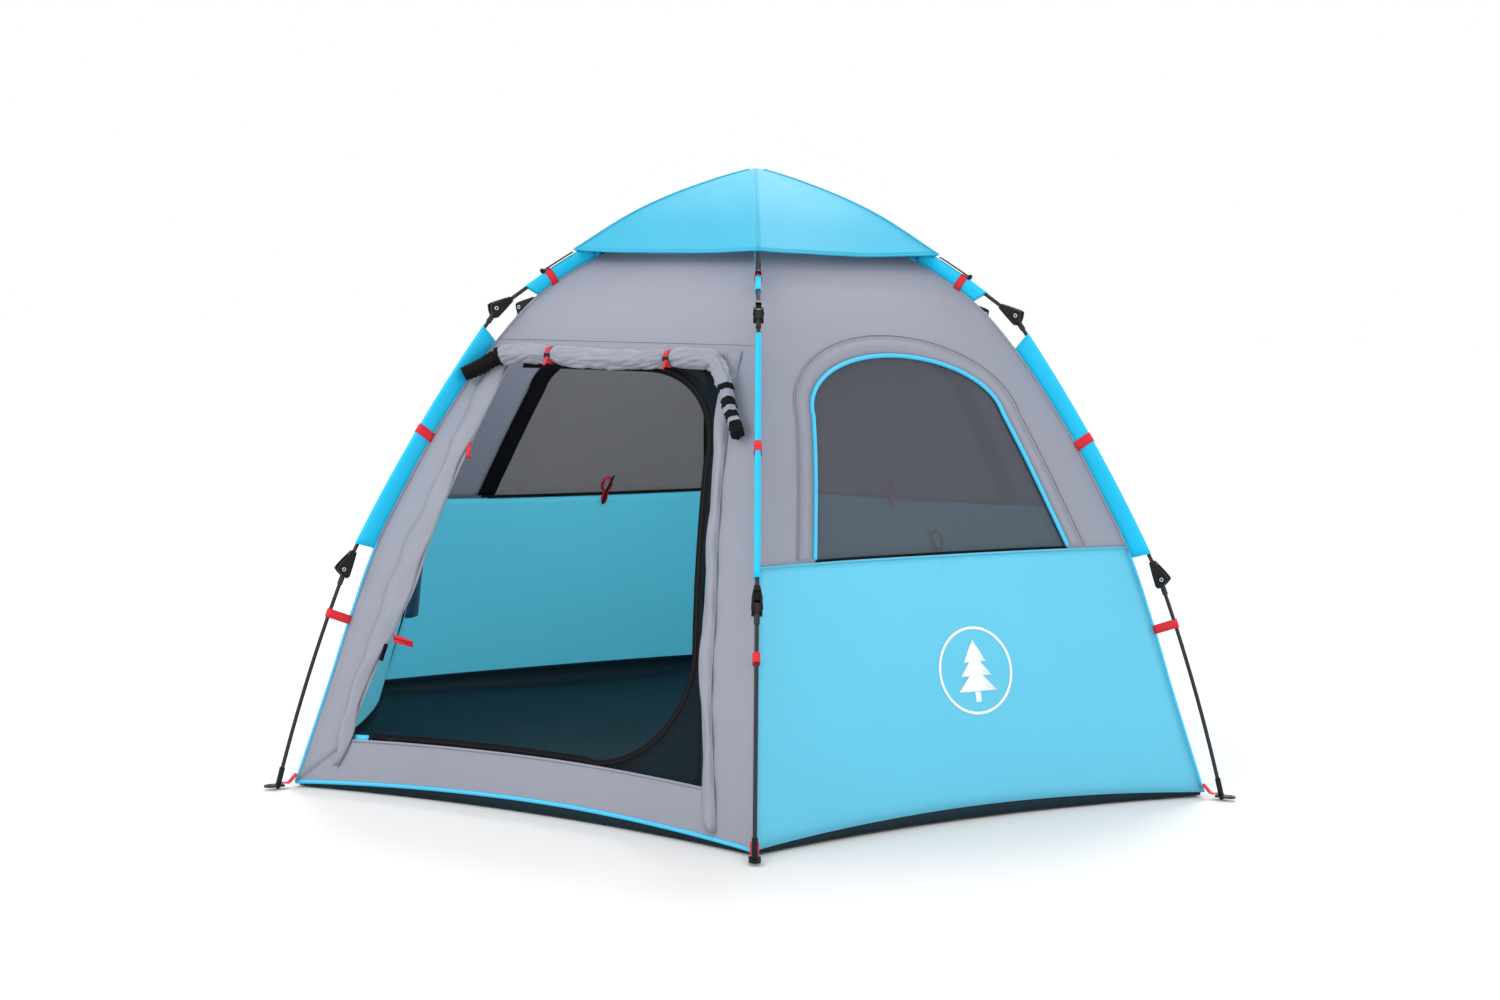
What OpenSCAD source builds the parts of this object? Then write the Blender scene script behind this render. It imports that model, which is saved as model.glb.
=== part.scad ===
// Instant dome tent: a hub and six hinged poles carry a hexagonal fabric body.
// Millimetres and degrees. +Z is up, the door faces -Y, and the origin lies on
// the ground below the hub. Pole 1 points along +X and the others follow
// anticlockwise, seen from above.

/* [Frame] */
// Radius of the circle through the six pole tips
foot_r = 1200; // [1150:5:1250]
// Distance of the lower elbow pins from the axis
low_elbow_r = 1051; // [1040:1:1060]
// Height of the lower elbow pins
low_elbow_z = 479; // [470:1:490]
// Distance of the upper elbow pins from the axis
up_elbow_r = 687; // [680:1:695]
// Height of the upper elbow pins
up_elbow_z = 1057; // [1050:1:1065]
// Distance of the hub pins from the axis
hub_pin_r = 55; // [52:1:58]
// Height of the hub pins
hub_z = 1365; // [1360:1:1370]
// Diameter of a pole
pole_d = 8.5; // [7.9:0.1:9]
// Rise of the upper poles' bow above a straight line
up_bow = 30; // [26:1:34]
// Rise of the middle poles' bow
mid_bow = 15; // [12:1:18]
// Rise of the lower poles' bow
low_bow = 8; // [6:1:10]

/* [Elbows] */
// Distance from an elbow's pin to the pole's axis
pin_offset = 7; // [6.5:0.1:7.5]
// Width of a fork along its pin
fork_w = 22; // [20:1:24]
// Width of the slot in a fork
slot_w = 12.4; // [12.3:0.1:13]
// Thickness of a tongue
tongue_w = 12; // [11:0.1:12]
// Diameter of the hollow rivets
rivet_d = 6; // [5:0.5:7]

/* [Feet] */
// Radius of a pole's rounded tip
tip_r = 6; // [5.5:0.5:6.5]
// Hole for a peg
peg_hole_d = 10; // [8:1:12]

/* [Hub] */
// Radius of the hub
hub_r = 68; // [66:1:72]
// Thickness of the hub
hub_h = 26; // [24:1:28]
// Travel of the release latch
latch_travel = 10; // [6:1:10]

/* [Fabric] */
// Thickness of the wall panels
cloth_t = 4; // [3:0.5:5]
// Height of the seam between the blue skirt and the grey upper wall
skirt_z = 545; // [530:5:555]
// Half width of a window at its sill
window_w = 330; // [310:5:335]
// Height of the top of the windows
window_top = 966; // [950:2:970]
// Diameter of the rolled door
roll_d = 44; // [30:1:46]

/* [Hidden] */
LEGS = [1:6];
WALLS = ["wall_back_right", "wall_back", "wall_back_left", "wall_left", "wall_door", "wall_right"];
DOOR_SIDE = 5;
BODY_NODES = ["floor", "ceiling_mesh", "window_mesh", "door_mesh", "door_zip", "door_roll",
              "pocket", "pole_sleeves", "webbing_straps", "zip_slider", "zip_pull"];
HUB_NODES = ["hub_body", "hub_cap", "hub_pins", "hub_latch", "latch_spring", "roof_fly", "fly_straps"];
LEG_NODES = ["upper_pole_", "upper_elbow_", "middle_pole_", "lower_elbow_", "lower_pole_", "foot_"];

fit = 0.08;
socket_d = pole_d + 0.6;
arc_fn = 720;
round_fn = 48;

// ---- Poles: points are [distance from the axis, height] in a leg's own plane

function unit(a) = [cos(a), sin(a)];
function outward(a) = [-sin(a), cos(a)];
function turned(p, a) = p.x * unit(a) + p.y * outward(a);
function heading(p, q) = atan2(q.y - p.y, q.x - p.x);

HUB_PIN = [hub_pin_r, hub_z];
UP_PIN = [up_elbow_r, up_elbow_z];
LOW_PIN = [low_elbow_r, low_elbow_z];
TIP = [foot_r, tip_r];
inset_up = pin_offset * outward(heading(HUB_PIN, UP_PIN));
inset_mid = pin_offset * outward(heading(UP_PIN, LOW_PIN));
inset_low = pin_offset * outward(heading(LOW_PIN, TIP));

// A pole is [start, end, bow]
UPPER = [HUB_PIN, UP_PIN - inset_up, up_bow];
MIDDLE = [UP_PIN - inset_mid, LOW_PIN - inset_mid, mid_bow];
LOWER = [LOW_PIN - inset_low, TIP, low_bow];

function arc_r(p) = (pow(norm(p[1] - p[0]), 2) / 4 + pow(p[2], 2)) / (2 * p[2]);
function half_turn(p) = asin(norm(p[1] - p[0]) / 2 / arc_r(p));
function arc_centre(p) = (p[0] + p[1]) / 2 - outward(heading(p[0], p[1])) * (arc_r(p) - p[2]);
function start_heading(p) = heading(p[0], p[1]) + half_turn(p);
function end_heading(p) = heading(p[0], p[1]) - half_turn(p);
// The point at share f of a pole's length, moved outward by w
function on_arc(p, f, w = 0) =
    arc_centre(p) + (arc_r(p) + w) * unit(90 + heading(p[0], p[1]) + half_turn(p) * (1 - 2 * f));

module in_leg(i) { rotate([0, 0, 60 * (i - 1)]) children(); }

// Places children at a point of the leg's plane, with x along angle a and z outward from it
module placed(p, a) { translate([p.x, 0, p.y]) rotate([0, -a, 0]) children(); }

// Stands a flat outline up in the leg's plane, w thick
module side_plate(w) { rotate([90, 0, 0]) linear_extrude(w, center = true) children(); }

module cross_pin(d, w) { rotate([90, 0, 0]) cylinder(d = d, h = w, center = true, $fn = round_fn); }

module along_x(d, from, to) {
    translate([from, 0, 0]) rotate([0, 90, 0]) cylinder(d = d, h = to - from, $fn = round_fn);
}

// A bowed rod, cut short by the given lengths at its ends
module rod(p, cut_start, cut_end) {
    per_mm = 180 / PI / arc_r(p);
    first = 90 + heading(p[0], p[1]) - half_turn(p) + cut_end * per_mm;
    sweep = 2 * half_turn(p) - (cut_start + cut_end) * per_mm;
    centre = arc_centre(p);
    translate([centre.x, 0, centre.y]) rotate([90, 0, 0]) rotate([0, 0, first])
        rotate_extrude(angle = sweep, $fn = arc_fn)
            translate([arc_r(p), 0]) circle(d = pole_d, $fn = 32);
}

// ---- Elbows: drawn at the pin, with x towards the lower end and z outward

tongue_r = 8.5;
tongue_drop = tongue_w / 2 + pin_offset;
ferrule_end = 34;
fork_back = -46;
FORK_SIDE = [[fork_back, -1], [fork_back, -13], [-20, -16], [8, -20], [15, -17], [15, -9],
             [11, 3], [5, 14], [-3, 13]];
FORK_PLAN = [[fork_back, 6], [-18, fork_w / 2], [15, fork_w / 2],
             [15, -fork_w / 2], [-18, -fork_w / 2], [fork_back, -6]];
function slot_side(bend) = [[-34, -1.5], [-34, 40], [70, 40], turned([70, -tongue_drop - 0.6], bend),
                            turned([-10, -tongue_drop - 0.6], bend), [-14, -1.5]];
rod_in_fork = 25;
rod_in_tongue = 15;

// The socket for a pole of bow radius r, curved like it. It runs back from 22 before the pin
module bowed_socket(r) {
    per_mm = 180 / PI / r;
    translate([0, 0, -pin_offset - r]) rotate([90, 0, 0]) rotate([0, 0, 90 + 22 * per_mm])
        rotate_extrude(angle = 30 * per_mm, $fn = arc_fn) translate([r, 0]) circle(d = socket_d, $fn = 32);
}

module fork(bend, bow_r) {
    color("#2b2c2e") difference() {
        intersection() {
            side_plate(fork_w) polygon(FORK_SIDE);
            linear_extrude(60, center = true) polygon(FORK_PLAN);
        }
        side_plate(slot_w) polygon(slot_side(bend));
        bowed_socket(bow_r);
        cross_pin(rivet_d + 0.1, 60);
    }
}

module rivet() {
    reach = fork_w / 2 + 0.05;
    head = 1.2;
    color("#b9bcc0") rotate([90, 0, 0]) rotate_extrude($fn = round_fn)
        polygon([[1.7, -reach - head], [4.8, -reach - head], [4.8, -reach], [rivet_d / 2, -reach],
                 [rivet_d / 2, reach], [4.8, reach], [4.8, reach + head], [1.7, reach + head]]);
}

// The tongue that swings in a fork, with its ferrule drop below the pin
module tongue(drop, hole_d) {
    color("#2b2c2e") difference() {
        union() {
            rotate([90, 0, 0]) cylinder(r = tongue_r, h = tongue_w, center = true, $fn = round_fn);
            side_plate(tongue_w)
                polygon([[-5, -6], [-4, -drop - 6], [12, -drop - 6], [12, -drop + 6], [6, 6]]);
            translate([0, 0, -drop]) along_x(tongue_w, 8, ferrule_end);
        }
        cross_pin(hole_d, 60);
        translate([0, 0, -drop]) along_x(socket_d, rod_in_tongue - 1, ferrule_end + 5);
    }
}

up_bend = start_heading(MIDDLE) - end_heading(UPPER);
low_bend = start_heading(LOWER) - end_heading(MIDDLE);

module upper_pole(i) {
    in_leg(i) {
        color("#33363a") rod(UPPER, rod_in_tongue, rod_in_fork);
        placed(HUB_PIN, start_heading(UPPER)) tongue(0, hub_pin_d + 0.1);
    }
}

module upper_elbow(i) {
    in_leg(i) placed(UP_PIN, end_heading(UPPER)) {
        fork(up_bend, arc_r(UPPER));
        rivet();
    }
}

module middle_pole(i) {
    in_leg(i) {
        color("#33363a") rod(MIDDLE, rod_in_tongue, rod_in_fork);
        placed(UP_PIN, start_heading(MIDDLE)) tongue(pin_offset, rivet_d + 2 * fit);
    }
}

module lower_elbow(i) {
    in_leg(i) placed(LOW_PIN, end_heading(MIDDLE)) {
        fork(low_bend, arc_r(MIDDLE));
        rivet();
    }
}

module lower_pole(i) {
    in_leg(i) {
        color("#33363a") rod(LOWER, rod_in_tongue, foot_socket_end);
        placed(LOW_PIN, start_heading(LOWER)) tongue(pin_offset, rivet_d + 2 * fit);
    }
}

// ---- Feet

foot_socket_end = 8;
foot_h = 42;
tab_z = 6;
tab_t = 4;
tab_w = 24;
peg_r = foot_r + 19;

module foot(i) {
    color("#2b2c2e") in_leg(i) difference() {
        union() {
            translate([TIP.x, 0, TIP.y]) sphere(r = tip_r, $fn = round_fn);
            placed(TIP, end_heading(LOWER)) along_x(2 * tip_r, -foot_h, 0);
            translate([foot_r - 12, -tab_w / 2, tab_z]) cube([31, tab_w, tab_t]);
            translate([peg_r, 0, tab_z]) cylinder(d = tab_w, h = tab_t, $fn = round_fn);
        }
        placed(TIP, end_heading(LOWER)) along_x(socket_d, -foot_h - 5, -foot_socket_end + 1);
        translate([peg_r, 0, tab_z - 1]) cylinder(d = peg_hole_d, h = tab_t + 2, $fn = round_fn);
    }
}

// ---- Hub

hub_pin_d = 4;
hub_bore_r = 8;
guide_r = 14;
rod_r = 6;
guide_z = hub_z - hub_h / 2 - 22;
latch_seat_z = hub_z - 1.3 - latch_travel;
latch_plate_z = guide_z - 30;

module hub_body() {
    color("#2b2c2e") difference() {
        union() {
            translate([0, 0, hub_z]) rotate_extrude($fn = 96)
                polygon([[0, -hub_h / 2], [hub_r - 2, -hub_h / 2], [hub_r, 2 - hub_h / 2],
                         [hub_r, hub_h / 2 - 2], [hub_r - 2, hub_h / 2], [0, hub_h / 2]]);
            translate([0, 0, guide_z]) cylinder(r = guide_r, h = 30, $fn = round_fn);
        }
        translate([0, 0, latch_seat_z]) cylinder(r = hub_bore_r, h = 60, $fn = round_fn);
        translate([0, 0, guide_z - 5]) cylinder(r = rod_r + 0.1, h = 60, $fn = round_fn);
        for (i = LEGS) in_leg(i) {
            translate([42, -slot_w / 2, hub_z - 30]) cube([40, slot_w, 60]);
            translate([hub_pin_r, 0, hub_z]) cross_pin(hub_pin_d + 0.1, 32.2);
        }
    }
}

module hub_cap() {
    color("#2b2c2e") translate([0, 0, hub_z + hub_h / 2 + 0.2]) {
        rotate_extrude($fn = 96) polygon([[0, 0], [56, 0], [56, 1.5], [42, 3.6], [22, 5], [0, 5.4]]);
        translate([0, 0, -9]) cylinder(r = hub_bore_r - 0.4, h = 9.5, $fn = round_fn);
    }
}

module hub_pins() {
    color("#b9bcc0") for (i = LEGS) in_leg(i)
        translate([hub_pin_r, 0, hub_z]) cross_pin(hub_pin_d, 32);
}

// The sprung release rod, with a finger plate and a ring below
module hub_latch() {
    color("#3a3b3d") {
        translate([0, 0, latch_plate_z])
            cylinder(r = rod_r, h = latch_seat_z - latch_plate_z + 1, $fn = round_fn);
        translate([0, 0, latch_seat_z + 0.3]) cylinder(r = hub_bore_r - 0.4, h = 4, $fn = round_fn);
        translate([0, 0, latch_plate_z - 6]) cylinder(r = 20, h = 6.5, $fn = round_fn);
        translate([0, 0, latch_plate_z - 13]) rotate([90, 0, 0])
            rotate_extrude($fn = round_fn) translate([8, 0]) circle(r = 2.2, $fn = 24);
    }
}

// A round wire wound about the latch rod
module latch_spring() {
    wire_r = 0.9;
    coil_r = 9;
    turns = 5;
    steps = 16;
    sides = 8;
    low = latch_plate_z + 0.5 + wire_r + 0.3;
    high = guide_z - wire_r - 0.3;
    count = turns * steps;
    function ring(k) = [for (s = [0:sides - 1])
        let (a = 360 * k / steps, b = 360 * s / sides, r = coil_r + wire_r * cos(b))
        [r * cos(a), r * sin(a), low + (high - low) * k / count + wire_r * sin(b)]];
    color("#b9bcc0") tube([for (k = [0:count]) ring(k)]);
}

// ---- Meshes swept from rings or stretched between two grids of points

module tube(rings) {
    n = len(rings[0]);
    last = (len(rings) - 1) * n;
    function wall(k, s) = let (a = k * n + s, b = k * n + (s + 1) % n)
        [[a, a + n, b + n], [a, b + n, b]];
    polyhedron(
        [for (r = rings) each r],
        concat([[for (s = [0:n - 1]) s]], [[for (s = [n - 1:-1:0]) last + s]],
               [for (k = [0:len(rings) - 2], s = [0:n - 1]) each wall(k, s)]));
}

// A closed sheet between an outer and an inner grid, each a list of rows of points
module sheet(outer, inner) {
    rows = len(outer);
    cols = len(outer[0]);
    function at(side, r, c) = (side * rows + r) * cols + c;
    function cell(a, b, c, d) = [[a, b, c], [a, c, d]];
    function skin(r, c) = concat(
        cell(at(0, r, c), at(0, r + 1, c), at(0, r + 1, c + 1), at(0, r, c + 1)),
        cell(at(1, r, c), at(1, r, c + 1), at(1, r + 1, c + 1), at(1, r + 1, c)));
    function end_rim(c) = concat(
        cell(at(0, 0, c), at(0, 0, c + 1), at(1, 0, c + 1), at(1, 0, c)),
        cell(at(0, rows - 1, c + 1), at(0, rows - 1, c), at(1, rows - 1, c), at(1, rows - 1, c + 1)));
    function side_rim(r) = concat(
        cell(at(0, r + 1, 0), at(0, r, 0), at(1, r, 0), at(1, r + 1, 0)),
        cell(at(0, r, cols - 1), at(0, r + 1, cols - 1), at(1, r + 1, cols - 1), at(1, r, cols - 1)));
    polyhedron(
        concat([for (row = outer) each row], [for (row = inner) each row]),
        concat([for (r = [0:rows - 2], c = [0:cols - 2]) each skin(r, c)],
               [for (c = [0:cols - 2]) each end_rim(c)],
               [for (r = [0:rows - 2]) each side_rim(r)]));
}

// ---- Fabric body: seams run down each leg's plane, and each side hangs between two of them

SEAM = [[1158, 12], [1120, 117], [1076, 240], [1035, 360], [970, 530], [905, 650], [841, 760],
        [765, 872], [683, 978], [576, 1086], [460, 1160], [330, 1215]];
CEILING = [[330, 1217.5], [200, 1248], [60, 1268]];
RIDGE = [[30, 1395], [60, 1391], [120, 1370], [238, 1326], [346, 1277], [487, 1194]];
ACROSS = [-1:0.25:1];
fly_hollow = 0.03;
seam_gap = 0.4;

function seam_r(z) = lookup(z, [for (p = SEAM) [p.y, p.x]]);
// How far a side is drawn in at mid width, and how far its hem is lifted
function draw_in(z) = lookup(z, [[12, 60], [skirt_z, 35], [990, 15], [1215, 4]]);
function hem_lift(z) = lookup(z, [[12, 18], [120, 10], [400, 0]]);
function side_turn(side) = 60 * side - 30;

// A point of a side: r and z on its seams, share t across, and depth w behind the outer face
function between(side, r, z, t, w, pull, lift) =
    let (a = side_turn(side),
         n = r * cos(30) - pull * (1 - t * t) - w,
         s = (r * sin(30) - seam_gap - w * tan(30)) * t)
    [n * cos(a) - s * sin(a), n * sin(a) + s * cos(a), z + lift * (1 - t * t)];

function side_grid(side, w) = [for (p = SEAM)
    [for (t = ACROSS) between(side, p.x, p.y, t, w, draw_in(p.y), hem_lift(p.y))]];

// A point of a side given by its offset s from the middle and its height
function on_side(side, s, z, w) =
    let (a = side_turn(side),
         r = seam_r(z),
         n = r * cos(30) - draw_in(z) * (1 - pow(s / (r * sin(30)), 2)) - w)
    [n * cos(a) - s * sin(a), n * sin(a) + s * cos(a), z];

// Cuts an outline, drawn as [offset, height], straight through a side
module through_side(side) {
    rotate([0, 0, side_turn(side)]) rotate([90, 0, 90]) translate([0, 0, 350]) linear_extrude(800) children();
}

window_sill = skirt_z + 10;
window_spring = 840;
window_top_w = 250;

function window_half(z, grow = 0) =
    z < window_spring
        ? window_w + grow - (z - window_sill) * (window_w - window_top_w) / (window_spring - window_sill)
        : (window_top_w + grow)
            * sqrt(max(0, 1 - pow((z - window_spring) / (window_top - window_spring + grow), 2)));

WINDOW = concat(
    [[-window_w, window_sill]],
    [for (a = [180:-15:0]) [window_top_w * cos(a), window_spring + (window_top - window_spring) * sin(a)]],
    [[window_w, window_sill]]);

DOORWAY = [[-440, 105], [-370, 440], [-290, 925], [-278, 960], [270, 960], [280, 925], [358, 540], [376, 400],
           [430, 105]];

module wall(side) {
    color(side == DOOR_SIDE ? "#a3a6b4" : "#5ccdf0") difference() {
        sheet(side_grid(side, 0), side_grid(side, cloth_t));
        through_side(side) polygon(side == DOOR_SIDE ? DOORWAY : WINDOW);
    }
}

mesh_t = 1.5;

module window_mesh() {
    heights = [window_sill - 8, 620, 700, 780, 840, 880, 915, 945, 964];
    function grid(side, w) = [for (z = heights)
        [for (t = [-1:0.25:1]) on_side(side, t * window_half(z, 8), z, w)]];
    color("#53575f") for (side = [1, 2, 3, 4, 6])
        sheet(grid(side, cloth_t + 0.5), grid(side, cloth_t + 0.5 + mesh_t));
}

// The zipped mesh door is undone and stowed, so only its fixed surround stands in the doorway
ZIP_HIGH = 938;
MESH_DOOR = concat(
    [[-500, 90], [120, 90]],
    [for (a = [-75:15:0]) [120 + 250 * cos(a), 352 + 250 * sin(a)]],
    [for (a = [0:15:90]) [70 + 230 * cos(a), 740 + (ZIP_HIGH - 740) * sin(a)]],
    [[-500, ZIP_HIGH]]);

module door_mesh() {
    depth = cloth_t + 1;
    heights = [95, 160, 240, 360, 530, 650, 760, 872, 950, 968];
    function edge(z) = lookup(z, [[95, 455], [440, 385], [968, 290]]);
    function grid(w) = [for (z = heights) [for (t = [-1:0.25:1]) on_side(DOOR_SIDE, t * edge(z), z, w)]];
    color("#2f3338") difference() {
        sheet(grid(depth), grid(depth + mesh_t));
        through_side(DOOR_SIDE) polygon(MESH_DOOR);
    }
}

// The zip's tape runs along the fixed edge. Its first stretch is straight, for the slider
zip_depth = cloth_t + 5;
zip_w = 20;
zip_t = 1.2;
zip_sill = 104;
zip_from = -400;
zip_straight_end = -110;
ZIP_PATH = concat(
    [[zip_from, zip_sill], [zip_straight_end, zip_sill], [0, zip_sill], [120, zip_sill]],
    [for (a = [-75:15:0]) [120 + 254 * cos(a), 352 + 254 * sin(a)]],
    [[352, 480], [328, 610]],
    [for (a = [0:15:90]) [70 + 234 * cos(a), 740 + (ZIP_HIGH + 4 - 740) * sin(a)]],
    [[-100, ZIP_HIGH + 4], [-265, ZIP_HIGH + 4]]);

function zip_turn(k) =
    let (p = ZIP_PATH[max(k - 1, 0)], q = ZIP_PATH[min(k + 1, len(ZIP_PATH) - 1)]) heading(p, q);

function zip_grid(w) = [for (k = [0:len(ZIP_PATH) - 1])
    [for (e = [1, -1])
        let (p = ZIP_PATH[k] + e * zip_w / 2 * outward(zip_turn(k)))
        on_side(DOOR_SIDE, p.x, p.y, w)]];

module door_zip() { color("#17181a") sheet(zip_grid(zip_depth), zip_grid(zip_depth + zip_t)); }

// The slider clips round the tape's upper edge, near the start of the straight stretch
zip_a = on_side(DOOR_SIDE, zip_from, zip_sill + zip_w / 2, zip_depth);
zip_b = on_side(DOOR_SIDE, zip_straight_end, zip_sill + zip_w / 2, zip_depth);
zip_c = on_side(DOOR_SIDE, zip_from, zip_sill - zip_w / 2, zip_depth);
zip_yaw = atan2(zip_b.y - zip_a.y, zip_b.x - zip_a.x);
zip_lean = atan2(norm([zip_a.x - zip_c.x, zip_a.y - zip_c.y]), zip_a.z - zip_c.z);
slider_from = 20;
pull_pin_y = -4.4;

// x along the straight stretch, y inward through the tape, z up the tape from its upper edge
module at_slider() {
    translate(zip_a) rotate([0, 0, zip_yaw]) rotate([-zip_lean, 0, 0])
        translate([slider_from, 0, 0]) children();
}

module zip_slider() {
    color("#1b1c1e") at_slider() {
        translate([0, -2.2, -9]) cube([16, 1.6, 12.4]);
        translate([0, zip_t + 0.6, -9]) cube([16, 1.6, 12.4]);
        translate([0, -2.2, 0.8]) cube([16, zip_t + 4.4, 2.6]);
        for (z = [-7, 0.2]) translate([5.4, pull_pin_y - 1, z]) cube([3.2, 3.4, 1.4]);
        translate([7, pull_pin_y, -7]) cylinder(d = 1.8, h = 8.6, $fn = 24);
    }
}

module zip_pull() {
    color("#1b1c1e") at_slider() difference() {
        union() {
            translate([7, pull_pin_y, -5.2]) cylinder(d = 4.4, h = 5, $fn = 24);
            translate([7, pull_pin_y - 2.2, -5.2]) cube([30, 1.6, 5]);
            translate([20, pull_pin_y - 2.2, -6.2]) cube([22, 1.6, 7]);
        }
        translate([7, pull_pin_y, -12]) cylinder(d = 1.96, h = 24, $fn = 24);
    }
}

module floor() {
    function edge(in) = [for (side = LEGS, t = [-1:0.25:0.75])
        let (p = between(side, SEAM[0].x, 0, t, in, draw_in(0), 0)) [p.x, p.y]];
    color("#16323f") {
        linear_extrude(3) polygon(edge(6));
        linear_extrude(32) difference() {
            polygon(edge(11.5));
            polygon(edge(14));
        }
    }
}

module ceiling_mesh() {
    function grid(side, drop) = [for (p = CEILING)
        [for (t = ACROSS) between(side, p.x, p.y - drop, t, 0, 4, 0)]];
    color("#6b6e78") for (side = LEGS) sheet(grid(side, 0), grid(side, 2));
}

// Rings of points run out along the fly's underside and back over its top
module roof_fly() {
    function ring(p, drop) = [for (side = LEGS, t = [-1:0.25:0.75])
        let (a = side_turn(side), n = p.x * (cos(30) - fly_hollow * (1 - t * t)), s = p.x * sin(30) * t)
        [n * cos(a) - s * sin(a), n * sin(a) + s * cos(a), p.y - drop]];
    last = len(RIDGE) - 1;
    color("#49c6f0") tube(concat([for (k = [0:last]) ring(RIDGE[k], 2.5)],
                                 [for (k = [last:-1:0]) ring(RIDGE[k], 0)]));
}

// Each sleeve is a strip in the leg's plane from the body seam out to the pole
module sleeve(p, from, to, foot_points) {
    clear = pole_d / 2 + 0.8;
    steps = 6;
    side_plate(2) polygon(concat(
        [for (k = [0:steps]) on_arc(p, from + (to - from) * k / steps, -clear)], foot_points));
}

module pole_sleeves() {
    color("#12b4ef") for (i = LEGS) in_leg(i) {
        sleeve(UPPER, 0.62, 0.87, [[578, 1087.5], [461, 1162.5], [430, 1177]]);
        sleeve(MIDDLE, 0.09, 0.9, [[980, 523], [972, 532], [907, 652], [843, 762], [767, 874], [686, 980]]);
    }
}

// A tab from each corner of the floor to its foot, and two ties round the rolled door
module webbing_straps() {
    color("#e11d35") {
        for (i = LEGS) in_leg(i) translate([1163, -10, 13]) rotate([0, 24, 0]) cube([24, 20, 1.5]);
        for (x = [-160, 148]) translate([x, roll_y, roll_z]) rotate([0, 90, 0]) difference() {
            cylinder(d = roll_d + 4, h = 14, center = true, $fn = round_fn);
            cylinder(d = roll_d + 0.8, h = 20, center = true, $fn = round_fn);
        }
    }
}

roll_z = 955;
roll_y = -634;
roll_left = -290;
roll_right = 272;

// A round bar from p to q
module bar(p, q, d1, d2) {
    v = q - p;
    translate(p) rotate([0, acos(v.z / norm(v)), atan2(v.y, v.x)])
        cylinder(d1 = d1, d2 = d2, h = norm(v), $fn = round_fn);
}

module door_roll() {
    start = [roll_left, roll_y, roll_z];
    finish = [roll_right, roll_y, roll_z];
    color("#9a9dab") {
        bar(start, finish, roll_d, roll_d);
        translate(start) sphere(d = roll_d + 1, $fn = round_fn);
        translate(finish) sphere(d = roll_d + 1, $fn = round_fn);
        bar(start, start + [-79, -60, -42], roll_d, roll_d - 4);
        bar(finish, finish + [98, -92, -150], roll_d, roll_d - 10);
    }
}

module pocket() {
    heights = [254, 300, 350, 408];
    function grid(w) = [for (z = heights) [for (s = [-430:45:-250]) on_side(4, s, z, w)]];
    color("#0e4563") sheet(grid(cloth_t + 1), grid(cloth_t + 4));
}

// A strap from each corner of the fly, down beside the sleeve to a ring on its tie
module fly_straps() {
    color("#1b1c1e") for (i = LEGS) in_leg(i)
        placed(on_arc(UPPER, 0.72, pole_d / 2 + 4), heading(on_arc(UPPER, 0.68), on_arc(UPPER, 0.76)))
            translate([-4, 9, 0]) cube([56, 8, 1.5]);
}

for (k = [0:5]) wall(k + 1);
floor();
ceiling_mesh();
window_mesh();
door_mesh();
door_zip();
door_roll();
pocket();
pole_sleeves();
webbing_straps();
zip_slider();
zip_pull();
hub_body();
hub_cap();
hub_pins();
hub_latch();
latch_spring();
roof_fly();
fly_straps();
for (i = LEGS) {
    upper_pole(i);
    upper_elbow(i);
    middle_pole(i);
    lower_elbow(i);
    lower_pole(i);
    foot(i);
}
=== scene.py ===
"""Cloth, fittings and finishes of the instant dome tent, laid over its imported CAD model.

Metres, +Z up, with the door facing -Y. Leg i stands at 60 * (i - 1) degrees, and side k lies
between legs k and k + 1.
"""

import math
from bisect import bisect_right

import bpy
from mathutils import Matrix, Vector, noise


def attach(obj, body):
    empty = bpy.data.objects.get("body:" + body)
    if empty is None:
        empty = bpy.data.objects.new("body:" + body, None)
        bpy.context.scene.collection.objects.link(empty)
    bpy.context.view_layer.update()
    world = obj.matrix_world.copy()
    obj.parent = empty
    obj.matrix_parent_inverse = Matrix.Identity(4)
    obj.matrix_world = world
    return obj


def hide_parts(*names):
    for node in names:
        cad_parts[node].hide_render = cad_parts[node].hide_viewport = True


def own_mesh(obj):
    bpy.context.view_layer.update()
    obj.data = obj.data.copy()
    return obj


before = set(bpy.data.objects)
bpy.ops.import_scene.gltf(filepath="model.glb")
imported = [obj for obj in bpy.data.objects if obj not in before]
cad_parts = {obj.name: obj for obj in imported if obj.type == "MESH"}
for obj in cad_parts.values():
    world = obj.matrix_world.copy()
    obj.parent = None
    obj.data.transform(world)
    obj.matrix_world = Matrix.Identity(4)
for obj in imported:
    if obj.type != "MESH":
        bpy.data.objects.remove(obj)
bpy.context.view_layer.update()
scene = bpy.context.scene

LEGS = range(1, 7)
DOOR = 5
WINDOWS = (1, 2, 3, 4, 6)
WALL_NODES = {
    1: "wall_back_right",
    2: "wall_back",
    3: "wall_back_left",
    4: "wall_left",
    5: "wall_door",
    6: "wall_right",
}
COS30 = math.cos(math.radians(30))
TAN30 = math.tan(math.radians(30))
UP = Vector((0, 0, 1))


# ---- Camera, light and floor

CAMERA_PLACE = (2.654, -4.741, 1.086)
CAMERA_TURN = (29.28, -5.15, 0.82)  # yaw, pitch and roll in degrees
CAMERA_LENS = 53.52  # mm, on a 36 mm sensor


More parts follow.
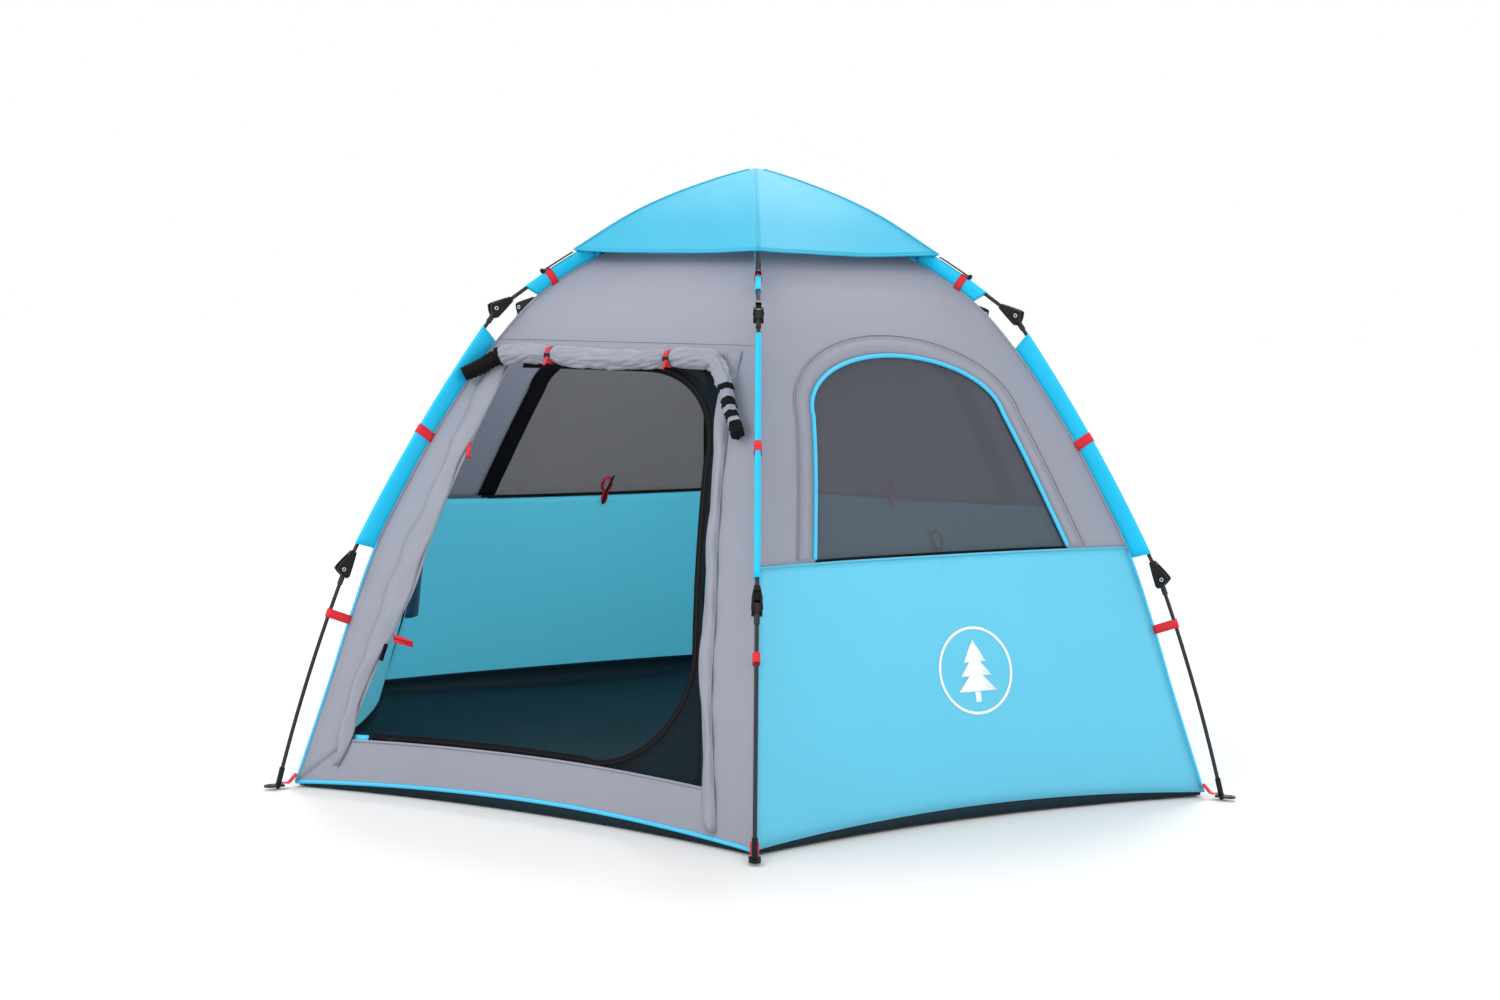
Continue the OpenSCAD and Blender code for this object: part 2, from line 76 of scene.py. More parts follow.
def set_camera():
    """The photograph's view: a little to the right of the door, at chest height."""
    yaw, pitch, roll = (math.radians(a) for a in CAMERA_TURN)
    ahead = Vector((-math.sin(yaw) * math.cos(pitch), math.cos(yaw) * math.cos(pitch), math.sin(pitch)))
    side = ahead.cross(UP).normalized()
    top = side.cross(ahead)
    right = side * math.cos(roll) + top * math.sin(roll)
    up = top * math.cos(roll) - side * math.sin(roll)
    data = bpy.data.cameras.new("camera")
    data.sensor_width = 36
    data.lens = CAMERA_LENS
    camera = bpy.data.objects.new("camera", data)
    turn = Matrix((right, up, -ahead)).transposed().to_4x4()
    camera.matrix_world = Matrix.Translation(CAMERA_PLACE) @ turn
    scene.collection.objects.link(camera)
    scene.camera = camera


def add_light(kind, name, place, power, target=(0, 0, 0.5)):
    data = bpy.data.lights.new(name, kind)
    data.energy = power
    lamp = bpy.data.objects.new(name, data)
    lamp.location = place
    lamp.rotation_euler = (Vector(target) - Vector(place)).to_track_quat("-Z", "Y").to_euler()
    scene.collection.objects.link(lamp)
    return data


def set_studio():
    """White surroundings, two big lamps in front, a soft high sun behind, and a lamp under the roof."""
    world = bpy.data.worlds.new("studio")
    world.use_nodes = True
    background = world.node_tree.nodes["Background"]
    background.inputs["Color"].default_value = (1, 1, 1, 1)
    background.inputs["Strength"].default_value = 1.0
    scene.world = world
    scene.view_settings.view_transform = "Standard"
    add_light("AREA", "key", (-2.5, -5.0, 4.0), 130).size = 3.5
    add_light("AREA", "fill", (5.5, -3.0, 2.5), 70).size = 4.0
    add_light("SUN", "back", (-1.6, 4.0, 4.4), 2.0).angle = 0.5
    add_light("POINT", "inside", (0, -0.1, 1.08), 14).shadow_soft_size = 0.15
    bpy.data.objects["inside"].visible_camera = False
    bpy.ops.mesh.primitive_plane_add(size=120, location=(0, 0, -0.0005))
    ground = bpy.context.object
    ground.name = "studio_floor"
    ground.data.materials.append(plain("studio_floor", (0.74, 0.74, 0.74), 1.0))


# ---- Materials


def plain(name, colour, rough, metallic=0.0, shine=0.5):
    material = bpy.data.materials.new(name)
    material.use_nodes = True
    shader = material.node_tree.nodes["Principled BSDF"]
    shader.inputs["Base Color"].default_value = (*colour, 1)
    shader.inputs["Roughness"].default_value = rough
    shader.inputs["Metallic"].default_value = metallic
    shader.inputs["Specular IOR Level"].default_value = shine
    return material


def tinted(nodes, links, colour, scale, spread):
    """A colour that drifts a little lighter and darker over the surface."""
    place = nodes.new("ShaderNodeTexCoord")
    drift = nodes.new("ShaderNodeTexNoise")
    drift.inputs["Scale"].default_value = scale
    drift.inputs["Detail"].default_value = 3
    ramp = nodes.new("ShaderNodeValToRGB")
    ramp.color_ramp.elements[0].position = 0.3
    ramp.color_ramp.elements[1].position = 0.7
    ramp.color_ramp.elements[0].color = (*[c * (1 - spread) for c in colour], 1)
    ramp.color_ramp.elements[1].color = (*[min(1, c * (1 + spread)) for c in colour], 1)
    links.new(place.outputs["Object"], drift.inputs["Vector"])
    links.new(drift.outputs["Fac"], ramp.inputs["Fac"])
    return ramp.outputs["Color"]


def weave_bump(nodes, links, threads, strength, distance=0.0004):
    """Warp and weft ridges in the cloth's own directions, taken from its UV map in metres."""
    place = nodes.new("ShaderNodeUVMap")
    place.uv_map = "cloth"
    total = nodes.new("ShaderNodeMath")
    for index, direction in enumerate("XY"):
        wave = nodes.new("ShaderNodeTexWave")
        wave.bands_direction = direction
        wave.inputs["Scale"].default_value = threads
        links.new(place.outputs["UV"], wave.inputs["Vector"])
        links.new(wave.outputs["Fac"], total.inputs[index])
    bump = nodes.new("ShaderNodeBump")
    bump.inputs["Strength"].default_value = strength
    bump.inputs["Distance"].default_value = distance
    links.new(total.outputs["Value"], bump.inputs["Height"])
    return bump.outputs["Normal"]


def cloth(name, colour, rough=0.6, threads=120, through=0.25, glow=None, sheen=0.15, spread=0.03,
          shine=0.5):
    """Coated polyester: fine weave, faint sheen, and some light shining through, in the colour glow."""
    material = plain(name, colour, rough, shine=shine)
    nodes, links = material.node_tree.nodes, material.node_tree.links
    shader = nodes["Principled BSDF"]
    shade = tinted(nodes, links, colour, 2.2, spread)
    normal = weave_bump(nodes, links, threads, 0.25)
    links.new(shade, shader.inputs["Base Color"])
    links.new(normal, shader.inputs["Normal"])
    shader.inputs["Sheen Weight"].default_value = sheen
    shader.inputs["Sheen Roughness"].default_value = 0.4
    if through:
        behind = nodes.new("ShaderNodeBsdfTranslucent")
        mix = nodes.new("ShaderNodeMixShader")
        mix.inputs["Fac"].default_value = through
        behind.inputs["Color"].default_value = (*(glow or colour), 1)
        links.new(shader.outputs["BSDF"], mix.inputs[1])
        links.new(behind.outputs["BSDF"], mix.inputs[2])
        links.new(mix.outputs["Shader"], nodes["Material Output"].inputs["Surface"])
    return material


def net(name, colour, open_share, shine=0.5):
    """Fine netting, too fine to see its threads: some of what is behind it shows."""
    material = plain(name, colour, 0.85, shine=shine)
    nodes, links = material.node_tree.nodes, material.node_tree.links
    shader = nodes["Principled BSDF"]
    links.new(tinted(nodes, links, colour, 3.0, 0.05), shader.inputs["Base Color"])
    links.new(weave_bump(nodes, links, 160, 0.5), shader.inputs["Normal"])
    clear = nodes.new("ShaderNodeBsdfTransparent")
    mix = nodes.new("ShaderNodeMixShader")
    mix.inputs["Fac"].default_value = open_share
    links.new(shader.outputs["BSDF"], mix.inputs[1])
    links.new(clear.outputs["BSDF"], mix.inputs[2])
    links.new(mix.outputs["Shader"], nodes["Material Output"].inputs["Surface"])
    return material


def webbing(name, colour, shine=0.5):
    """Woven tape with ribs across it."""
    material = plain(name, colour, 0.7, shine=shine)
    nodes, links = material.node_tree.nodes, material.node_tree.links
    shader = nodes["Principled BSDF"]
    links.new(tinted(nodes, links, colour, 40, 0.08), shader.inputs["Base Color"])
    links.new(weave_bump(nodes, links, 60, 0.8, 0.0008), shader.inputs["Normal"])
    return material


def moulded(name, colour, rough, grain=900, metallic=0.0, shine=0.5):
    """Moulded plastic or drawn metal, with a fine grain."""
    material = plain(name, colour, rough, metallic, shine)
    nodes, links = material.node_tree.nodes, material.node_tree.links
    place = nodes.new("ShaderNodeTexCoord")
    speckle = nodes.new("ShaderNodeTexNoise")
    speckle.inputs["Scale"].default_value = grain
    bump = nodes.new("ShaderNodeBump")
    bump.inputs["Strength"].default_value = 0.15
    bump.inputs["Distance"].default_value = 0.0003
    links.new(place.outputs["Object"], speckle.inputs["Vector"])
    links.new(speckle.outputs["Fac"], bump.inputs["Height"])
    links.new(bump.outputs["Normal"], nodes["Principled BSDF"].inputs["Normal"])
    return material


BLUE = cloth("blue_cloth", (0.165, 0.665, 0.90), through=0.36, glow=(0.40, 0.92, 0.95))
FLY_BLUE = cloth("fly_cloth", (0.035, 0.475, 0.70), through=0.15, sheen=0.05, shine=0.3)
SLEEVE_BLUE = cloth("sleeve_cloth", (0.0, 0.60, 0.94), through=0.18)
GREY = cloth("grey_cloth", (0.39, 0.405, 0.48), through=0.32)
TRIM_BLUE = cloth("trim_blue", (0.05, 0.53, 0.82), through=0)
POCKET_BLUE = cloth("pocket_cloth", (0.01, 0.06, 0.13), through=0)
GROUND = cloth("ground_cloth", (0.004, 0.022, 0.032), 0.7, threads=18, through=0, sheen=0, spread=0.2,
               shine=0.3)
WINDOW_NET = net("window_net", (0.075, 0.08, 0.10), 0.28)
DOOR_NET = net("door_net", (0.006, 0.014, 0.020), 0.3, shine=0.15)
CEILING_NET = net("ceiling_net", (0.12, 0.125, 0.15), 0.3)
RED = webbing("red_webbing", (0.72, 0.012, 0.03))
ELASTIC = webbing("black_elastic", (0.008, 0.008, 0.009), shine=0.15)
BLACK_CLOTH = cloth("black_cloth", (0.006, 0.006, 0.007), 0.85, through=0, sheen=0, shine=0.12)
PLASTIC = moulded("black_plastic", (0.007, 0.007, 0.008), 0.5, shine=0.2)
GREY_PLASTIC = moulded("grey_plastic", (0.035, 0.036, 0.038), 0.45)
ROD = moulded("rod", (0.015, 0.016, 0.018), 0.4, grain=300, shine=0.3)
STEEL = moulded("steel", (0.6, 0.61, 0.63), 0.3, metallic=1.0)
WHITE_INK = plain("white_ink", (0.85, 0.93, 0.96), 0.5)


# ---- Curves and surfaces of the cloth

HEM_Z, SKIRT_Z, CROWN_Z = 0.012, 0.545, 1.215
# The tables below are (height, value): a seam's distance from the axis, how far a panel's middle
# is drawn in from the straight line between its seams, and how far it is lifted
SEAM = [(HEM_Z, 1.158), (0.117, 1.120), (0.240, 1.076), (0.360, 1.035), (0.530, 0.970), (0.650, 0.905),
        (0.760, 0.841), (0.872, 0.765), (0.978, 0.683), (1.086, 0.576), (1.160, 0.460), (CROWN_Z, 0.330)]
DRAW_IN = [(HEM_Z, 0.060), (SKIRT_Z, 0.035), (0.990, 0.015), (CROWN_Z, 0.004)]
HEM_LIFT = [(HEM_Z, 0.018), (0.120, 0.010), (0.400, 0.0), (CROWN_Z, 0.0)]
SEAM_GAP = 0.0006
SOFT_WAVE, SEAM_FOLD = 0.0045, 0.0018  # how far the cloth's waves and the folds at its seams stand out


def straight(x, table):
    """Straight-line interpolation in a table of (x, y)."""
    k = min(max(bisect_right([p[0] for p in table], x) - 1, 0), len(table) - 2)
    (x0, y0), (x1, y1) = table[k], table[k + 1]
    share = min(max((x - x0) / (x1 - x0), 0), 1)
    return y0 + (y1 - y0) * share


def smooth(x, table):
    """A smooth curve through a table of (x, y)."""
    k = min(max(bisect_right([p[0] for p in table], x) - 1, 0), len(table) - 2)

    def slope(i):
        (x0, y0), (x1, y1) = table[max(i - 1, 0)], table[min(i + 1, len(table) - 1)]
        return (y1 - y0) / (x1 - x0)

    (x0, y0), (x1, y1) = table[k], table[k + 1]
    h = x1 - x0
    u = (x - x0) / h
    return (
        (2 * u**3 - 3 * u**2 + 1) * y0
        + (u**3 - 2 * u**2 + u) * h * slope(k)
        + (3 * u**2 - 2 * u**3) * y1
        + (u**3 - u**2) * h * slope(k + 1)
    )


def seam_r(z):
    return smooth(z, SEAM)


def turned(n, s, z, degrees):
    """n outward and s to the left of it, about the tent's axis."""
    a = math.radians(degrees)
    return Vector((n * math.cos(a) - s * math.sin(a), n * math.sin(a) + s * math.cos(a), z))


def in_leg(leg, r, z, sideways=0.0):
    """A point r from the axis in a leg's own plane, or sideways of that plane."""
    return turned(r, sideways, z, 60 * (leg - 1))


def ripple(side, t, z):
    """How far the cloth stands out from its smooth shape: soft waves, and folds running in from the seams."""
    soft = noise.noise(Vector((t * 1.6 + 7 * side, z * 2.3, 3.1 * side))) * SOFT_WAVE
    edge = 1 - abs(t)
    folds = math.sin(z * 38 + 2.0 * side + 5 * edge) * math.exp(-edge * 9) * SEAM_FOLD
    fade = min(edge * 14, 1)
    return (soft + folds) * fade


def wall(side, t, z, depth=0.0, waves=True):
    """A point of a side: t is -1 and 1 on its seams, z its height there, and depth how far inside it lies."""
    bow = 1 - t * t
    out = ripple(side, t, z) if waves else 0
    n = seam_r(z) * COS30 - straight(z, DRAW_IN) * bow - depth + out
    s = (seam_r(z) * 0.5 - SEAM_GAP - depth * TAN30) * t
    return turned(n, s, z + straight(z, HEM_LIFT) * bow, 60 * side - 30)


def at(side, s, z, depth=0.0):
    """A point of a side, s metres to the left of its middle."""
    return wall(side, s / (seam_r(z) * 0.5), z, depth)


def circle_angles(steps):
    """Angles once round a circle, with the first one repeated at the end."""
    return [math.tau * k / steps for k in range(steps + 1)]


def path(points, steps):
    """Points spaced along a smooth curve through the given ones."""
    given = [Vector(p) for p in points]
    found = []
    for k in range(len(given) - 1):
        a, b = given[k], given[k + 1]
        before = given[k - 1] if k else a * 2 - b
        after = given[k + 2] if k + 2 < len(given) else b * 2 - a
        for j in range(steps):
            u = j / steps
            found.append(
                0.5 * (2 * a + (b - before) * u + (2 * before - 5 * a + 4 * b - after) * u**2
                       + (3 * a - before - 3 * b + after) * u**3)
            )
    return found + [given[-1]]


# ---- Building pieces


def finish_piece(obj, body, nodes=()):
    """Puts a piece on the body it rides on and hides the CAD parts that it stands for; a piece of the tent's
    body gets its own mesh.
    """
    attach(obj, body)
    if nodes:
        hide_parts(*nodes)
    if body == "tent_body":
        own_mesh(obj)


def mesh_object(name, points, faces, uvs, materials, face_materials=None):
    mesh = bpy.data.meshes.new(name)
    mesh.from_pydata([tuple(p) for p in points], [], faces)
    layer = mesh.uv_layers.new(name="cloth")
    for loop in mesh.loops:
        layer.data[loop.index].uv = uvs[loop.vertex_index]
    for material in materials:
        mesh.materials.append(material)
    for polygon in mesh.polygons:
        polygon.use_smooth = True
        if face_materials:
            polygon.material_index = face_materials[polygon.index]
    obj = bpy.data.objects.new(name, mesh)
    scene.collection.objects.link(obj)
    return obj


def grid_object(name, rows, material, thickness=0.001, loop=False, face_material=None):
    """A sheet through rows of points, with its UV map in metres. loop joins each row's ends."""
    cols = len(rows[0])
    points = [p for row in rows for p in row]
    uvs = []
    down = [0.0] * cols
    for r, row in enumerate(rows):
        across = 0.0
        for c, p in enumerate(row):
            across += (p - row[c - 1]).length if c else 0
            down[c] += (p - rows[r - 1][c]).length if r else 0
            uvs.append((across, down[c]))
    spans = cols if loop else cols - 1
    faces = []
    for r in range(len(rows) - 1):
        for c in range(spans):
            a, b = r * cols + c, r * cols + (c + 1) % cols
            faces.append((a, b, b + cols, a + cols))
    chosen = [face_material(f // spans, f % spans) for f in range(len(faces))] if face_material else None
    materials = material if isinstance(material, (list, tuple)) else [material]
    obj = mesh_object(name, points, faces, uvs, materials, chosen)
    return thicken(obj, thickness) if thickness else obj


def thicken(obj, thickness):
    """Gives a sheet its two faces and its edge."""
    solid = obj.modifiers.new("solid", "SOLIDIFY")
    solid.thickness = thickness
    solid.offset = 0
    bpy.context.view_layer.update()
    made = bpy.data.meshes.new_from_object(obj.evaluated_get(bpy.context.evaluated_depsgraph_get()))
    obj.modifiers.clear()
    obj.data = made
    return obj


def joined(name, parts):
    """One object from several, keeping their materials."""
    for obj in bpy.context.selected_objects:
        obj.select_set(False)
    for obj in parts:
        obj.select_set(True)
    bpy.context.view_layer.objects.active = parts[0]
    bpy.ops.object.join()
    parts[0].name = name
    return parts[0]


def tube(name, points, radius, material, sides=6):
    """A round cord or piping along points, closed at both ends."""
    count = len(points)
    rows = []
    across = None
    for k, p in enumerate(points):
        along = (points[min(k + 1, count - 1)] - points[max(k - 1, 0)]).normalized()
        if across is None:
            across = along.orthogonal().normalized()
        across = (across - along * across.dot(along)).normalized()
        other = along.cross(across)
        rows.append([
            p + (across * math.cos(a) + other * math.sin(a)) * radius
            for a in circle_angles(sides)[:-1]
        ])
    first_end = [points[0]] * sides
    last_end = [points[-1]] * sides
    return grid_object(name, [first_end, *rows, last_end], material, thickness=0, loop=True)


def trim(name, points, radius, material, sides=6):
    """A seam, piping or binding on the tent's body."""
    finish_piece(tube(name, points, radius, material, sides), "tent_body")


def ribbon(name, left, right, material, thickness=0.001):
    """A flat band between two lines of points."""
    return grid_object(name, [list(pair) for pair in zip(left, right)], material, thickness)


def strap(name, line, half, material, thickness=0.0012):
    """A flat strap along a line of points, reaching half to each side of it."""
    return grid_object(name, [[p - half, p + half] for p in line], material, thickness)


def sheet_area(rows):
    """Area of a sheet through rows of points."""
    total = 0.0
    for upper, lower in zip(rows, rows[1:]):
        for c in range(len(upper) - 1):
            total += (upper[c + 1] - lower[c]).cross(lower[c + 1] - upper[c]).length / 2
    return total


def sheet_size(rows):
    """The rectangle that a sheet was cut from, from the lengths of its longest row and column."""
    def length(line):
        return sum((b - a).length for a, b in zip(line, line[1:]))

    width = max(length(row) for row in rows)
    height = max(length(list(column)) for column in zip(*rows))
    return round(width, 3), round(height, 3)


def declare(rows, flat=None, area=None):
    """Works out a panel's cut size and its area, both measured along its rows unless they are given, but
    keeps neither.
    """
    flat = flat or sheet_size(rows)
    rectangle = flat[0] * flat[1]
    area = min(max(area or sheet_area(rows), 0.3 * rectangle), rectangle)


# ---- Wall panels and windows


def build_skirts():
    for side in WINDOWS:
        rows = [
            [wall(side, c / 24 - 1, HEM_Z + (SKIRT_Z - HEM_Z) * r / 26) for c in range(49)]
            for r in range(27)
        ]
        obj = grid_object(f"skirt_{side}", rows, BLUE)
        finish_piece(obj, "tent_body", [WALL_NODES[side]])
        declare(rows)


WINDOW_SILL, WINDOW_SPRING, WINDOW_TOP = 0.553, 0.840, 0.966
WINDOW_LOW_W, WINDOW_HIGH_W = 0.330, 0.250
WINDOW_MARGIN = 0.008  # how far the net reaches past its window
UPPER_LENGTH = 0.86  # from the skirt's seam to the crown, along the cloth
PIPING_R = 0.005


def window_edge(u, grow=0.0):
    """A window's outline from its left foot, over the top, to its right foot, moved outward by grow."""
    straight_part = 0.3
    if u < straight_part or u > 1 - straight_part:
        share = min(u, 1 - u) / straight_part
        s = WINDOW_LOW_W + (WINDOW_HIGH_W - WINDOW_LOW_W) * share + grow
        z = WINDOW_SILL + (WINDOW_SPRING - WINDOW_SILL) * share
        return (s if u < 0.5 else -s), z
    a = math.pi * (u - straight_part) / (1 - 2 * straight_part)
    return (
        (WINDOW_HIGH_W + grow) * math.cos(a),
        WINDOW_SPRING + (WINDOW_TOP - WINDOW_SPRING + grow) * math.sin(a),
    )


def upper_edge(u):
    """The upper wall's outline beside window_edge: up its left seam, along the crown, down its right seam."""
    seam_part = 0.4
    if u < seam_part:
        return 1.0, SKIRT_Z + (CROWN_Z - SKIRT_Z) * (u / seam_part)
    if u > 1 - seam_part:
        return -1.0, SKIRT_Z + (CROWN_Z - SKIRT_Z) * ((1 - u) / seam_part)
    return 1 - 2 * (u - seam_part) / (1 - 2 * seam_part), CROWN_Z


def outward(side, inner, outer, steps):
    """A row of points of a side from its opening's edge to its own, both given as (t, z)."""
    (t_in, z_in), (t_out, z_out) = inner, outer
    return [
        wall(side, t_in + (t_out - t_in) * k / steps, z_in + (z_out - z_in) * k / steps)
        for k in range(steps + 1)
    ]


def build_uppers():
    columns = 96
    for side in WINDOWS:
        rows = []
        for c in range(columns + 1):
            s, z = window_edge(c / columns)
            t = s / (seam_r(z) * 0.5)
            if c in (0, columns):
                z = SKIRT_Z
                t = math.copysign(WINDOW_LOW_W / (seam_r(z) * 0.5), t)
            rows.append(outward(side, (t, z), upper_edge(c / columns), 22))
        obj = grid_object(f"upper_wall_{side}", rows, GREY)
        finish_piece(obj, "tent_body", [WALL_NODES[side]])
        declare(rows, flat=(round(seam_r(SKIRT_Z), 3), UPPER_LENGTH))


def build_window_nets():
    for side in WINDOWS:
        rows = []
        for r in range(21):
            share = math.sin(math.pi / 2 * r / 20)
            z = WINDOW_SILL - 0.01 + (WINDOW_TOP + 0.005 - WINDOW_SILL + 0.01) * share
            half = window_half(z)
            rows.append([at(side, half * (c / 12 - 1), z, 0.004) for c in range(25)])
        obj = grid_object(f"window_net_{side}", rows, WINDOW_NET, thickness=0.0006)
        finish_piece(obj, "tent_body", ["window_mesh"])
        declare(rows)


def window_half(z):
    """Half the window net's width at a height, with its seam allowance."""
    if z < WINDOW_SPRING:
        share = (z - WINDOW_SILL) / (WINDOW_SPRING - WINDOW_SILL)
        return WINDOW_LOW_W + (WINDOW_HIGH_W - WINDOW_LOW_W) * share + WINDOW_MARGIN
    rise = (z - WINDOW_SPRING) / (WINDOW_TOP + WINDOW_MARGIN - WINDOW_SPRING)
    return max((WINDOW_HIGH_W + WINDOW_MARGIN) * math.sqrt(max(1 - rise * rise, 0)), 0.02)


def window_line(side, grow, depth, steps=90):
    return [at(side, *window_edge(k / steps, grow), depth) for k in range(steps + 1)]


def build_window_trim():
    """Blue piping, the stitched band round it, and the black zip tape on the inside."""
    for side in WINDOWS:
        edge = window_line(side, 0.0, -0.002)
        trim(f"window_piping_{side}", edge, PIPING_R, TRIM_BLUE, sides=8)
        lines = (window_line(side, grow, -0.0022) for grow in (0.006, 0.042))
        band = ribbon(f"window_band_{side}", *lines, GREY)
        ridges = [
            tube(f"ridge_{side}_{k}", window_line(side, grow, -0.0022), 0.0017, GREY)
            for k, grow in enumerate((0.038, 0.045))
        ]
        band = joined(f"window_band_{side}", [band, *ridges])
        finish_piece(band, "tent_body")
        lines = (window_line(side, grow, 0.006) for grow in (-0.005, 0.042))
        tape = ribbon(f"window_tape_{side}", *lines, BLACK_CLOTH)
        sill = [at(side, 0.36 - 0.72 * k / 40, WINDOW_SILL - 0.004, 0.004) for k in range(41)]
        binding = tube(f"sill_binding_{side}", sill, 0.003, BLACK_CLOTH)
        tape = joined(f"window_tape_{side}", [tape, binding])
        finish_piece(tape, "tent_body")


# ---- The door side

# Both jambs of the doorway, and the outer edges of the flaps beside them, as (z, s)
DOOR_LEFT = [(0.105, -0.466), (0.190, -0.452), (0.337, -0.407), (0.436, -0.370), (0.560, -0.352),
             (0.677, -0.332), (0.808, -0.306), (0.937, -0.284), (0.962, -0.280)]
DOOR_RIGHT = [(0.105, 0.434), (0.359, 0.380), (0.522, 0.361), (0.710, 0.320), (0.913, 0.272), (0.962, 0.264)]
FLAP_LEFT = [(0.050, -0.486), (0.153, -0.490), (0.304, -0.460), (0.500, -0.420), (0.675, -0.376),
             (0.974, -0.330)]
FLAP_RIGHT = [(0.038, 0.475), (0.281, 0.420), (0.475, 0.395), (0.710, 0.345), (0.974, 0.300)]
FLAP_TOP = 0.975
DOOR_SILL, DOOR_HEAD = 0.105, 0.962


def across_door(z, share):
    """A point at one height of the doorway, share of the way from its left jamb to its right one."""
    left, right = smooth(z, DOOR_LEFT), smooth(z, DOOR_RIGHT)
    return left + (right - left) * share, z


def door_edge(u):
    """The doorway's outline: up the left jamb, along the head, down the right jamb, back along the sill."""
    side = min(int(u * 4), 3)
    share = u * 4 - side
    height = DOOR_HEAD - DOOR_SILL
    if side == 0:
        return across_door(DOOR_SILL + height * share, 0)
    if side == 1:
        return across_door(DOOR_HEAD, share)
    if side == 2:
        return across_door(DOOR_HEAD - height * share, 1)
    return across_door(DOOR_SILL, 1 - share)


def panel_edge(u):
    """The door side's outline beside door_edge, as (t, z)."""
    side = min(int(u * 4), 3)
    share = u * 4 - side
    if side == 0:
        return -1.0, HEM_Z + (CROWN_Z - HEM_Z) * share
    if side == 1:
        return -1 + 2 * share, CROWN_Z
    if side == 2:
        return 1.0, CROWN_Z - (CROWN_Z - HEM_Z) * share
    return 1 - 2 * share, HEM_Z


def build_door_wall():
    columns = 176
    rows = []
    for c in range(columns + 1):
        s, z = door_edge(c / columns)
        inner = (s / (seam_r(z) * 0.5), z)
        rows.append(outward(DOOR, inner, panel_edge(c / columns), 16))
    obj = grid_object("door_wall", rows, GREY)
    finish_piece(obj, "tent_body", ["wall_door"])
    declare(rows, flat=(1.16, 1.5))


def build_jambs():
    """The flaps that covered the door's zips, one each side of the doorway."""
    flaps = (
        ("left", 0.050, DOOR_LEFT, FLAP_LEFT, 1),
        ("right", 0.028, DOOR_RIGHT, FLAP_RIGHT, -1),
    )
    for name, low, inner, outer, inward in flaps:
        rows = []
        for k in range(61):
            z = low + (FLAP_TOP - low) * k / 60
            s_in = smooth(z, inner) + inward * 0.005 * math.sin(k * 0.4)
            s_out = smooth(z, outer)
            row = []
            for c in range(11):
                u = c / 10
                puff = 0.004 + 0.009 * math.sin(math.pi * u) + 0.002 * math.sin(k * 0.9 + 4 * u)
                row.append(at(DOOR, s_in + (s_out - s_in) * u, z, -puff))
            rows.append(row)
        obj = grid_object(f"jamb_{name}", rows, GREY)
        finish_piece(obj, "tent_body")
        trim(f"jamb_seam_{name}", [row[-1] for row in rows], 0.0018, GREY)


ZIP_SILL, ZIP_HIGH = 0.104, 0.942
ZIP_DEPTH = 0.0096
SILL_STEPS = 20


def arc(s, z, wide, high, first, last):
    """Points every 6 degrees round an ellipse about (s, z)."""
    angles = [math.radians(a) for a in range(first, last + 1, 6)]
    return [(s + wide * math.cos(a), z + high * math.sin(a)) for a in angles]


def zip_line():
    """The inner door's zip, from the left end of the sill round to the left end of the head, as (s, z)."""
    line = [(-0.424 + 0.544 * k / SILL_STEPS, ZIP_SILL) for k in range(SILL_STEPS + 1)]
    line += arc(0.120, 0.352, 0.254, 0.254, -84, 0)
    line += [(0.363, 0.420), (0.350, 0.500), (0.336, 0.580), (0.319, 0.660)]
    line += arc(0.070, 0.740, 0.234, ZIP_HIGH - 0.740, 0, 90)
    return line + [(-0.060 - 0.2 * k / 8, ZIP_HIGH) for k in range(1, 9)]


def build_door_zip():
    line = zip_line()
    left, right, coil = [], [], []
    for k, (s, z) in enumerate(line):
        (s0, z0), (s1, z1) = line[max(k - 1, 0)], line[min(k + 1, len(line) - 1)]
        length = math.hypot(s1 - s0, z1 - z0)
        across = Vector((-(z1 - z0) / length, (s1 - s0) / length)) * 0.010
        left.append(at(DOOR, s + across.x * 1.7, z + across.y * 1.7, ZIP_DEPTH))
        right.append(at(DOOR, s - across.x, z - across.y, ZIP_DEPTH))
        coil.append(at(DOOR, s + across.x * 0.8, z + across.y * 0.8, 0.0089))
    tape = ribbon("door_zip_tape", left, right, BLACK_CLOTH)
    teeth = tube("door_zip_teeth", coil, 0.0016, PLASTIC)
    obj = joined("door_zip_tape", [tape, teeth])
    finish_piece(obj, "tent_body", ["door_zip"])
    low, high = ([at(DOOR, -0.466 + 0.009 * k, z, 0.006) for k in range(5)] for z in (0.100, 0.117))
    finish_piece(ribbon("zip_end", low, high, TRIM_BLUE), "tent_body")


def build_door_net():
    """The fixed net between the inner door's zip and the doorway."""
    inner = zip_line()[SILL_STEPS:]
    # The doorway's edge beside some of the zip's points, as (number of the point, s, z)
    outer = [(0, 0.120, 0.100), (6, 0.425, 0.105), (15, 0.382, 0.352), (19, 0.333, 0.660),
             (28, 0.268, 0.958), (35, 0.070, 0.962), (len(inner) - 1, -0.270, 0.962)]
    rows = []
    for k, (s, z) in enumerate(inner):
        s_out = straight(k, [(i, a) for i, a, _ in outer])
        z_out = straight(k, [(i, b) for i, _, b in outer])
        rows.append([at(DOOR, s + (s_out - s) * c / 6, z + (z_out - z) * c / 6, 0.0065) for c in range(7)])
    obj = grid_object("door_net", rows, DOOR_NET, thickness=0.0006)
    finish_piece(obj, "tent_body", ["door_mesh"])
    declare(rows, flat=(0.1, 1.5))


